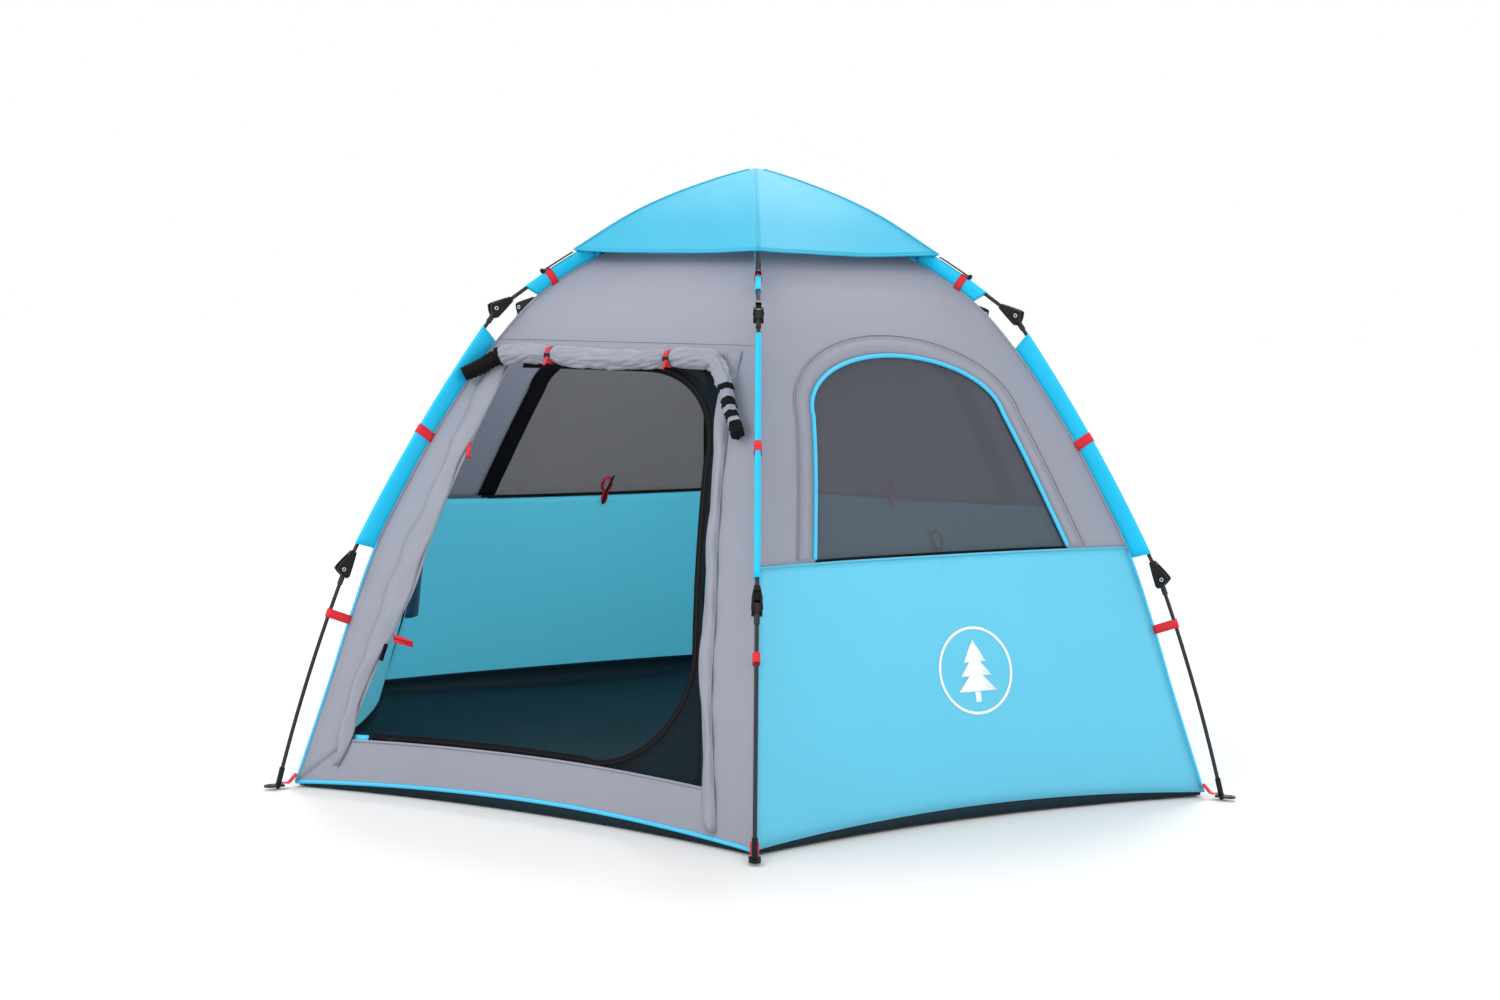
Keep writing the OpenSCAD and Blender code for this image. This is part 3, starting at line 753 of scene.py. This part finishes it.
ROLL_TIES = (-0.160, 0.148)  # where along X the two ties hold the roll
ROLL_LINE = [
    (-0.364, -0.683, 0.907), (-0.333, -0.660, 0.927), (-0.296, -0.641, 0.949), (-0.240, -0.634, 0.957),
    (-0.160, -0.633, 0.957), (-0.080, -0.633, 0.951), (0.0, -0.633, 0.949), (0.080, -0.633, 0.951),
    (0.148, -0.633, 0.956), (0.210, -0.634, 0.957), (0.262, -0.638, 0.951), (0.296, -0.662, 0.915),
    (0.330, -0.692, 0.862), (0.352, -0.710, 0.830), (0.371, -0.726, 0.804),
]


def roll_radius(x, k):
    """The roll is drawn in at its ties, and its hanging ends are slimmer and ribbed."""
    if x > 0.27:
        return 0.0205 - 0.0055 * (x - 0.27) / 0.1 + 0.0012 * math.sin(k * 1.35)
    if x < -0.30:
        return 0.0175 - 0.02 * (-0.30 - x) + 0.0010 * math.sin(k * 1.9)
    tie = min(abs(x - place) for place in ROLL_TIES)
    return 0.0225 - 0.0065 * math.exp(-((tie / 0.016) ** 2))


def roll_crumple(x, z, a):
    """How the roll's cloth is creased at angle a round it, as a share of its radius."""
    tie = min(abs(x - place) for place in ROLL_TIES)
    soft = noise.noise(Vector((x * 26, math.cos(a) * 1.8, math.sin(a) * 1.8 + z * 20)))
    crease = abs(noise.noise(Vector((x * 22 + 1.5 * math.sin(a), a * 1.1, 4.0))))
    pleats = 0.08 * math.sin(5 * a + x * 60) * math.exp(-((tie / 0.05) ** 2))
    return 0.20 * soft - max(0.20 - crease, 0) + pleats


def build_door_roll():
    """The door rolled up to the head of the doorway and tied twice, with its ends hanging."""
    centre = path(ROLL_LINE, 14)
    sides = 48
    rows = []
    across = None
    for k, p in enumerate(centre):
        along = (centre[min(k + 1, len(centre) - 1)] - centre[max(k - 1, 0)]).normalized()
        if across is None:
            across = along.cross(UP).normalized()
        else:
            across = (across - along * across.dot(along)).normalized()
        other = along.cross(across)
        row = []
        for s in range(sides):
            a = math.tau * s / sides
            lip = 0.10 * (s / sides) - 0.05
            r = roll_radius(p.x, k) * (1 + lip + roll_crumple(p.x, p.z, a))
            row.append(p + (across * math.cos(a) + other * math.sin(a)) * r)
        rows.append(row)
    count = len(rows) - 1
    rows = [[centre[0]] * sides, *rows, [centre[-1]] * sides]

    def dark(r, _):
        """The left end is black, and the right one is banded in black up to its black tip."""
        x = rows[min(r, count)][0].x
        band = (x - 0.285) / 0.085
        ribbed = band > 0 and (band > 0.72 or (band * 9) % 2 > 1.15 - 0.5 * band)
        return 1 if x < -0.286 or ribbed else 0

    obj = grid_object("rolled_door", rows, [GREY, BLACK_CLOTH], thickness=0, loop=True, face_material=dark)
    finish_piece(obj, "tent_body", ["door_roll"])


def band_ring(name, centre, axis, radius, width, material, tail=0.0):
    """A strap wound once round a bar, with an optional hanging end."""
    axis = Vector(axis).normalized()
    across = axis.orthogonal().normalized()
    other = axis.cross(across)
    line = [
        Vector(centre) + (across * math.cos(a) + other * math.sin(a)) * radius
        for a in circle_angles(32)
    ]
    ring = strap(name, line, axis * width / 2, material)
    if not tail:
        return ring
    start = Vector(centre) + Vector((0, -radius - 0.001, 0.004))
    hang = [start + Vector((0.003 * math.sin(k), -0.001 * k, -tail * k / 5)) for k in range(6)]
    return joined(name, [ring, strap(f"{name}_end", hang, axis * width * 0.3, material, 0.001)])


def build_roll_ties():
    parts = [
        band_ring(f"tie_{x}", (x, -0.633, 0.9555), (1, 0, 0.12), 0.0188, 0.011, RED, tail=0.026)
        for x in ROLL_TIES
    ]
    finish_piece(joined("roll_ties", parts), "tent_body", ["webbing_straps"])
    buckles = []
    for x in ROLL_TIES:
        bpy.ops.mesh.primitive_cube_add(size=1, location=(x, -0.6525, 0.9555))
        buckle = bpy.context.object
        buckle.scale = (0.014, 0.004, 0.010)
        bevel = buckle.modifiers.new("bevel", "BEVEL")
        bevel.width = 0.0012
        bevel.segments = 2
        buckle.data.materials.append(PLASTIC)
        bpy.ops.object.transform_apply(scale=True)
        bpy.ops.object.modifier_apply(modifier="bevel")
        buckles.append(buckle)
    finish_piece(joined("tie_buckles", buckles), "tent_body")


def loop_strap(name, side, s, z, reach, drop, across, material, depth=-0.004):
    """A folded webbing loop sewn to a side. It sticks out along reach, hangs by drop and is across wide."""
    root = at(side, s, z, depth)
    out = Vector(reach)
    line = []
    for k in range(17):
        a = math.pi * k / 16
        line.append(root + out * math.sin(a) + UP * (-drop * (1 - math.cos(a)) / 2))
    return strap(name, line, -Vector(across) / 2, material)


def build_tie_backs():
    """Red loops and a toggle on the left jamb, and two red loops with a cord inside each window."""
    toggle = [at(DOOR, -0.410, 0.318, -0.006), at(DOOR, -0.417, 0.282, -0.006)]
    loops = [
        loop_strap("loop_low", DOOR, -0.398, 0.335, (0.045, 0.012, -0.012), 0.006, (0, 0, 0.012), RED),
        loop_strap("loop_high", DOOR, -0.316, 0.758, (0.004, -0.012, -0.008), 0.032, (0.010, 0, 0.005), RED),
        tube("loop_toggle", toggle, 0.0045, BLACK_CLOTH, sides=8),
    ]
    finish_piece(joined("door_tie_backs", loops), "tent_body")
    toggles = []
    for side in WINDOWS:
        low = at(side, 0.004, WINDOW_SILL - 0.034, 0.012)
        knot = at(side, 0.0, WINDOW_SILL + 0.004, 0.018)
        high = at(side, -0.014, WINDOW_SILL + 0.046, 0.016)
        toggles.append(tube(f"toggle_cord_{side}", path([low, knot, high], 8), 0.0026, BLACK_CLOTH))
        for z, wide, tall in ((0.022, 0.014, 0.019), (-0.016, 0.006, 0.016)):
            ring = [
                at(side, wide * math.cos(a), WINDOW_SILL + z + tall * math.sin(a), 0.0105)
                for a in circle_angles(24)
            ]
            toggles.append(tube(f"toggle_ring_{side}_{z}", ring, 0.0038, RED))
    finish_piece(joined("window_toggles", toggles), "tent_body")


def build_pocket():
    """A pocket on the left wall that bags out at its foot."""
    wide, tall, bagged = 0.180, 0.154, 0.034
    rows = []
    for r in range(17):
        rise = max(r - 4, 0) / 12
        bag = min(r / 4, 1) * (1 - 0.8 * rise) * bagged
        row = []
        for c in range(15):
            depth = 0.008 + bag * math.sin(math.pi * c / 14) ** 0.5
            row.append(at(4, -0.430 + wide * c / 14, 0.254 + tall * rise, depth))
        rows.append(row)
    obj = grid_object("pocket_cloth", rows, POCKET_BLUE)
    finish_piece(obj, "tent_body", ["pocket"])
    declare(rows)


def build_seams():
    """Bindings down the six seams, outside in the cloth's own colours and inside in black."""
    for leg in LEGS:
        heights = [HEM_Z + (CROWN_Z - HEM_Z) * k / 60 for k in range(61)]
        line = [in_leg(leg, seam_r(z) + 0.001, z) for z in heights]
        low = [p for p in line if p.z <= SKIRT_Z]
        high = [p for p in line if p.z > SKIRT_Z - 0.02]
        outside = joined(f"seam_{leg}", [
            tube(f"seam_low_{leg}", low, 0.003, TRIM_BLUE),
            tube(f"seam_high_{leg}", high, 0.003, GREY),
        ])
        finish_piece(outside, "tent_body")
        heights = [0.04 + (CROWN_Z - 0.05) * k / 50 for k in range(51)]
        inner = [in_leg(leg, seam_r(z) - 0.010, z) for z in heights]
        trim(f"seam_binding_{leg}", inner, 0.0035, BLACK_CLOTH)


def build_hems():
    """The seam above each skirt, and the door side's hem, its seam above the roll, and its sill."""
    def from_seam_to_seam(side, z, out):
        return [wall(side, c / 30 - 1, z, -out) for c in range(61)]

    for side in WINDOWS:
        line = from_seam_to_seam(side, SKIRT_Z, 0.001)
        trim(f"skirt_seam_{side}", line, 0.0022, BLUE)
    trim("door_hem", from_seam_to_seam(DOOR, HEM_Z, 0.001), 0.0045, TRIM_BLUE, sides=8)
    trim("door_head_seam", from_seam_to_seam(DOOR, 0.988, 0.0008), 0.0018, GREY)
    sill = [at(DOOR, -0.46 + 0.92 * c / 40, DOOR_SILL, -0.001) for c in range(41)]
    trim("door_sill_hem", sill, 0.003, GREY)


# ---- Floor, ceiling and fly

FLOOR_RINGS, RIM_ROWS, RIM_STEP = 25, 4, 0.007


def build_floor():
    """The ground sheet, in rings from its middle out to the walls, with a rim turned up inside them."""
    rows = []
    for k in range(FLOOR_RINGS + RIM_ROWS + 1):
        share = k / FLOOR_RINGS
        ring = []
        for side in LEGS:
            for c in range(20):
                t = c / 10 - 1
                if k <= FLOOR_RINGS:
                    edge = wall(side, t, HEM_Z, 0.006, waves=False)
                    bump = noise.noise(Vector((edge.x * share * 3, edge.y * share * 3, 0.4)))
                    z = 0.0045 + 0.003 * bump * (1 - share**6)
                    ring.append(Vector((edge.x * share, edge.y * share, z)))
                else:
                    ring.append(wall(side, t, HEM_Z + RIM_STEP * (k - FLOOR_RINGS), 0.0018))
        rows.append(ring)
    obj = grid_object("ground_sheet", rows, GROUND, thickness=0.001, loop=True)
    finish_piece(obj, "tent_body", ["floor"])
    declare(rows, flat=(2.32, 2.02), area=3.1)


def build_ceiling():
    """The net crown above the grey walls."""
    line = [(0.330, 1.2153), (0.265, 1.233), (0.200, 1.248), (0.130, 1.259), (0.060, 1.268)]
    rows = []
    for r, z in line:
        ring = []
        for side in LEGS:
            for c in range(12):
                t = c / 6 - 1
                ring.append(turned(r * COS30 - 0.004 * (1 - t * t), r * 0.5 * t, z - 0.001, 60 * side - 30))
        rows.append(ring)
    obj = grid_object("ceiling_net", rows, CEILING_NET, thickness=0.0006, loop=True)
    finish_piece(obj, "tent_body", ["ceiling_mesh"])
    declare(rows, flat=(0.67, 0.59), area=0.29)


FLY_R, FLY_TOP, FLY_KEEP = 0.487, 1.398, 0.2
RIDGE = [(0.0, 1.401), (0.030, 1.394), (0.060, 1.386), (0.120, 1.368), (0.238, 1.326), (0.346, 1.277),
         (FLY_R, 1.194)]


def fly_point(side, t, r):
    """A point of the fly. r is the distance from the axis of the same point of its ridges."""
    z = smooth(r, RIDGE)
    bow = 1 - t * t
    wave = 0.0025 * noise.noise(Vector((t * 2 + 5 * side, r * 9, side))) * min(r * 6, 1)
    dip = 0.012 * bow * (r / FLY_R) ** 1.5
    return turned(r * (COS30 - 0.03 * bow), r * 0.5 * t, z - dip * 0.5 + wave * bow, 60 * side - 30)


def hang_on_hub(obj):
    """The fly comes down with the hub."""
    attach(obj, "hub")
    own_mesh(obj)


def build_fly():
    rings = 33
    rows = []
    for k in range(rings + 1):
        r = max(FLY_R * k / rings, 0.0015)
        rows.append([fly_point(side, c / 10 - 1, r) for side in LEGS for c in range(20)])
    obj = grid_object("fly_cloth", rows, FLY_BLUE, thickness=0.001, loop=True)
    hang_on_hub(obj)
    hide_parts("roof_fly")
    declare(rows, flat=(0.98, 0.85), area=0.70)
    parts = []
    for leg in LEGS:
        line = [fly_point(leg, -1, FLY_R * k / 24) + Vector((0, 0, 0.0008)) for k in range(1, 25)]
        parts.append(tube(f"ridge_{leg}", line, 0.0022, FLY_BLUE))
        hem = [fly_point(leg, c / 14 - 1, FLY_R - 0.001) for c in range(29)]
        parts.append(tube(f"hem_{leg}", hem, 0.0024, FLY_BLUE))
    hang_on_hub(joined("fly_seams", parts))


# ---- Poles, sleeves and straps

POLE_R = 0.00425


class Pole:
    """A bowed pole in its leg's plane. Its points are (distance from the axis, height)."""

    def __init__(self, start, end, bow):
        p, q = Vector(start), Vector(end)
        chord = q - p
        out = Vector((-chord.y, chord.x)).normalized()
        self.radius = (chord.length**2 / 4 + bow**2) / (2 * bow)
        self.centre = (p + q) / 2 - out * (self.radius - bow)
        self.half = math.asin(chord.length / 2 / self.radius)
        self.middle = math.atan2(out.y, out.x)

    def point(self, share, outward=0.0):
        """The point that share of the way along, moved outward, as (r, z)."""
        a = self.middle + self.half * (1 - 2 * share)
        return self.centre + Vector((math.cos(a), math.sin(a))) * (self.radius + outward)


def inset(start, end, distance=0.007):
    """An elbow pin's offset from a pole's axis."""
    chord = Vector(end) - Vector(start)
    return Vector((-chord.y, chord.x)).normalized() * distance


# The pins, the tip and the bows of the CAD's poles, as (distance from the axis, height)
HUB_PIN, UP_PIN, LOW_PIN, TIP = (0.055, 1.365), (0.687, 1.057), (1.051, 0.479), (1.200, 0.006)
UPPER = Pole(HUB_PIN, Vector(UP_PIN) - inset(HUB_PIN, UP_PIN), 0.030)
MIDDLE = Pole(Vector(UP_PIN) - inset(UP_PIN, LOW_PIN), Vector(LOW_PIN) - inset(UP_PIN, LOW_PIN), 0.015)
LOWER = Pole(Vector(LOW_PIN) - inset(LOW_PIN, TIP), TIP, 0.008)


def seam_near(p):
    """The seam's point straight inward from a pole's point."""
    best = min(((seam_r(z) - p.x) ** 2 + (z - p.y) ** 2, z) for z in [0.02 + 0.004 * k for k in range(299)])
    return Vector((seam_r(best[1]), best[1]))


def sleeve_rows(leg, pole, first, last, top_in, bottom_in, steps=26):
    """Rings round the pole, each drawn in to the seam, from first to last along the pole."""
    rows = []
    radius = POLE_R + 0.0014
    for k in range(steps + 1):
        u = k / steps
        outer = pole.point(first + (last - first) * u)
        z = top_in + (bottom_in - top_in) * u
        inner = Vector((seam_r(z) + 0.001, z))
        reach = outer - inner
        out = reach.normalized()
        ring = []
        for c in range(-6, 7):
            flare = c / 6
            if abs(flare) > 0.5:
                share = (abs(flare) - 0.5) * 2
                puff = 0.002 * math.sin(math.pi * share) * (1 + 0.4 * math.sin(k * 1.1 + 3 * flare + leg))
                place = outer - reach * share
                wide = radius * (1 - share) + 0.0008 + puff
                ring.append(in_leg(leg, place.x, place.y, math.copysign(wide, flare)))
            else:
                a = math.pi * flare
                place = outer + out * radius * math.cos(a)
                ring.append(in_leg(leg, place.x, place.y, radius * math.sin(a)))
        rows.append(ring)
    return rows


# Each sleeve: where along its pole it starts and ends, and the heights of the same ends on the seam
SLEEVES = (
    ("upper", UPPER, 0.60, 0.865, 1.176, 1.087),
    ("middle", MIDDLE, 0.075, 0.905, 0.980, 0.521),
)


def build_sleeves():
    for leg in LEGS:
        for part, pole, *ends in SLEEVES:
            rows = sleeve_rows(leg, pole, *ends)
            obj = grid_object(f"sleeve_{part}_{leg}", rows, SLEEVE_BLUE, thickness=0.0008)
            finish_piece(obj, f"{part}_{leg}", ["pole_sleeves"])
            declare(rows)


def strap_rows(leg, pole, share, width, gap):
    """A strap from the seam out round the pole and back. Its width lies along the pole."""
    centre = pole.point(share)
    before, after = pole.point(share - 0.01), pole.point(share + 0.01)
    along = (after - before).normalized()
    reach = centre - seam_near(centre)
    out = reach.normalized()
    radius = POLE_R + gap
    rows = []
    for c in range(-12, 13):
        flare = c / 12
        if abs(flare) > 0.45:
            u = (abs(flare) - 0.45) / 0.55
            place = centre - reach * u
            wide = radius * (1 - u) + 0.003 * u + 0.0025 * math.sin(math.pi * u)
        else:
            a = math.pi * flare / 0.9
            place = centre + out * radius * math.cos(a)
            wide = radius * abs(math.sin(a))
        side = math.copysign(wide, flare) if c else 0.0
        low, high = place - along * width / 2, place + along * width / 2
        rows.append([in_leg(leg, low.x, low.y, side), in_leg(leg, high.x, high.y, side)])
    return rows


# Each strap: where it is along its pole, how wide it is, and how far it stands off the pole
STRAPS = (
    ("upper", UPPER, 0.775, 0.018, 0.0028),
    ("middle", MIDDLE, 0.478, 0.022, 0.0028),
    ("lower", LOWER, 0.205, 0.020, 0.0022),
)


def build_straps():
    for leg in LEGS:
        for part, *place in STRAPS:
            obj = grid_object(f"strap_{part}_{leg}", strap_rows(leg, *place), RED, 0.0012)
            finish_piece(obj, f"{part}_{leg}", ["webbing_straps"])


def build_corner_straps():
    """A red tab from each corner of the floor to the foot."""
    for leg in LEGS:
        keys = [(1.157, 0.030), (1.166, 0.021), (1.176, 0.012), (1.190, 0.0125)]
        line = path([in_leg(leg, r, z) for r, z in keys], 6)
        across = in_leg(leg, 0, 0, 1)
        tab = strap(f"corner_tab_{leg}", line, across * 0.009, RED, 0.0014)
        finish_piece(tab, "tent_body", ["webbing_straps"])


RIM_R, RIM_OUT = 0.0036, 0.0125  # a rivet rim's radius, and how far from the leg's plane it lies


def build_rivets():
    """The bright rolled rims of the hollow rivets, on both sides of each elbow."""
    for leg in LEGS:
        for part, (r, z) in (("upper", UP_PIN), ("middle", LOW_PIN)):
            rims = []
            for s in (-RIM_OUT, RIM_OUT):
                circle = [
                    in_leg(leg, r + RIM_R * math.cos(a), z + RIM_R * math.sin(a), s)
                    for a in circle_angles(24)
                ]
                rims.append(tube(f"rim_{part}_{leg}", circle, 0.0013, STEEL, sides=8))
            rivets = joined(f"rivet_rims_{part}_{leg}", rims)
            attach(rivets, f"{part}_{leg}")


def build_fly_straps():
    """An elastic strap from each corner of the fly to a hook on the upper sleeve."""
    for leg in LEGS:
        first, last = 0.665, 0.79
        line = []
        for k in range(15):
            p = UPPER.point(first + (last - first) * k / 14, POLE_R + 0.006)
            line.append(in_leg(leg, p.x, p.y))
        across = in_leg(leg, 0, 0, 1)
        elastic = strap(f"fly_strap_{leg}", line, across * 0.006, ELASTIC, 0.0013)
        hook = band_ring(f"fly_hook_{leg}", line[-1], line[-1] - line[-2], 0.006, 0.006, PLASTIC)
        elastic = joined(f"fly_strap_{leg}", [elastic, hook])
        finish_piece(elastic, f"upper_{leg}", ["fly_straps"])


def build_spring():
    """The latch's return spring, riding on the hub."""
    low, high, radius, turns, steps = 1.3017, 1.3288, 0.009, 5, 24
    line = []
    for k in range(turns * steps + 1):
        a = math.tau * k / steps
        z = low + (high - low) * k / (turns * steps)
        line.append(Vector((radius * math.cos(a), radius * math.sin(a), z)))
    spring = tube("latch_coil", line, 0.0009, STEEL, sides=8)
    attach(spring, "hub")
    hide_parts("latch_spring")
    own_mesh(spring)


# ---- Emblem: a plain ring with a pine tree

# Half width, foot and tip of each tier
TREE_TIERS = ((0.050, -0.045, 0.005), (0.040, -0.012, 0.035), (0.029, 0.018, 0.066))


def build_emblem():
    side, s0, z0 = 6, 0.045, 0.300

    def flat_shape(name, outline, hole=None):
        outer = [at(side, s0 - x, z0 + y, -0.0016) for x, y in outline]
        if hole:
            inner = [at(side, s0 - x, z0 + y, -0.0016) for x, y in hole]
            return grid_object(name, [list(pair) for pair in zip(outer, inner)], WHITE_INK, 0.0004)
        middle = sum(outer, Vector()) / len(outer)
        rows = [[p, p + (middle - p) * 0.5, middle] for p in [*outer, outer[0]]]
        return grid_object(name, rows, WHITE_INK, 0.0004)

    def circle(radius):
        return [(radius * math.cos(a), radius * math.sin(a)) for a in circle_angles(64)]

    parts = [flat_shape("ring", circle(0.095), circle(0.089))]
    for k, (half, foot, tip) in enumerate(TREE_TIERS):
        parts.append(flat_shape(f"tree_{k}", [(-half, foot), (half, foot), (0, tip)]))
    parts.append(flat_shape("trunk", [(-0.007, -0.068), (0.007, -0.068), (0.007, -0.046), (-0.007, -0.046)]))
    finish_piece(joined("emblem", parts), "tent_body")


# ---- CAD pieces keep their shape and get their finish

FINISHES = {
    "hub_body": PLASTIC,
    "hub_cap": PLASTIC,
    "hub_pins": STEEL,
    "hub_latch": GREY_PLASTIC,
    "zip_slider": PLASTIC,
    "zip_pull": PLASTIC,
    "upper_pole": ROD,
    "middle_pole": ROD,
    "lower_pole": ROD,
    "upper_elbow": PLASTIC,
    "lower_elbow": PLASTIC,
    "foot": PLASTIC,
}


def finish_cad():
    for name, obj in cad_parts.items():
        kind = name if name in FINISHES else name.rstrip("123456").rstrip("_")
        if kind not in FINISHES:
            continue
        for slot in obj.material_slots:
            slot.material = FINISHES[kind]


set_camera()
set_studio()
build_skirts()
build_uppers()
build_window_nets()
build_window_trim()
build_door_wall()
build_jambs()
build_door_zip()
build_door_net()
build_door_roll()
build_roll_ties()
build_tie_backs()
build_pocket()
build_seams()
build_hems()
build_floor()
build_ceiling()
build_fly()
build_sleeves()
build_straps()
build_corner_straps()
build_rivets()
build_fly_straps()
build_spring()
build_emblem()
finish_cad()
